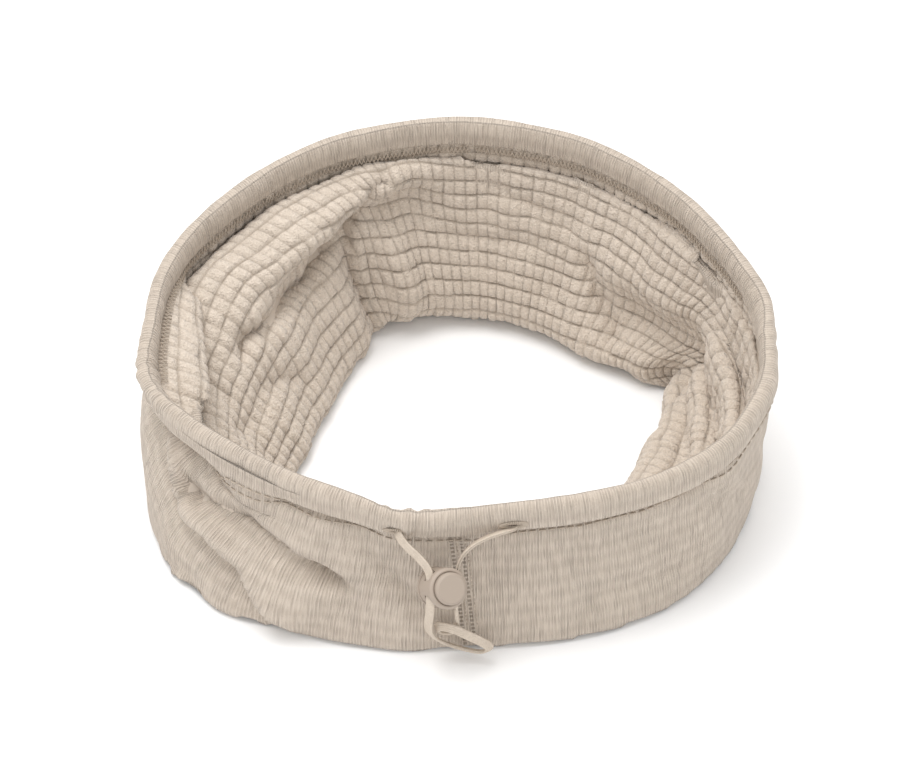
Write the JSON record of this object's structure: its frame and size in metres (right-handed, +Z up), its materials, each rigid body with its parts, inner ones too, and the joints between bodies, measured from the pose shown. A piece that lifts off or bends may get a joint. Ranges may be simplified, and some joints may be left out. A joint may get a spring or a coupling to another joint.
{
  "type": "neck gaiter",
  "caption": "Soft grid-fleece neck gaiter: an open fabric tube with a drawcord hem and a sprung cord lock hanging at the front.",
  "frame": {"origin": "on the surface that the gaiter rests on, under the middle of the fabric tube", "axes": "+Z up, -Y towards the front seam and the cord lock, +X to the right seen from the front"},
  "size_m": [0.1822, 0.1601, 0.0697],
  "materials": {
    "grid_fleece": "smooth fine-ribbed knit face outside, brushed grid pile inside",
    "sewing_thread": "matte spun thread",
    "interlining": "matte bonded felt",
    "elastic_cord": "ribbed flat elastic, slight sheen",
    "lock_plastic": "matte moulded plastic",
    "spring_wire": "drawn spring wire"
  },
  "bodies": {
    "gaiter": {"fleece_tube": "grid_fleece", "hem_needle_threads": "sewing_thread", "hem_looper_thread": "sewing_thread", "lower_hem_thread": "sewing_thread", "front_seam_thread": "sewing_thread", "left_eyelet": "sewing_thread", "right_eyelet": "sewing_thread", "left_eyelet_patch": "interlining", "right_eyelet_patch": "interlining", "drawcord_tunnel_run": "elastic_cord", "drawcord_left_leg": "elastic_cord", "drawcord_loop": "elastic_cord", "drawcord_right_leg": "elastic_cord"},
    "cord_lock": {"lock_housing": "lock_plastic", "lock_base": "lock_plastic", "lock_spring": "spring_wire"},
    "button": {"lock_button": "lock_plastic"}
  },
  "joints": [
    {"name": "lock_slide", "type": "slide", "parent": "gaiter", "child": "cord_lock", "axis": [0, -0.1, 0.995], "range_m": [0, 0.008], "deforming": ["drawcord_left_leg", "drawcord_right_leg", "drawcord_loop"]},
    {"name": "button_press", "type": "slide", "parent": "cord_lock", "child": "button", "axis": [-0.4194, 0.6419, -0.6419], "range_m": [0, 0.0016], "stiffness_N_per_m": 800, "springref_m": -0.001, "deforming": ["lock_spring"]}
  ]
}
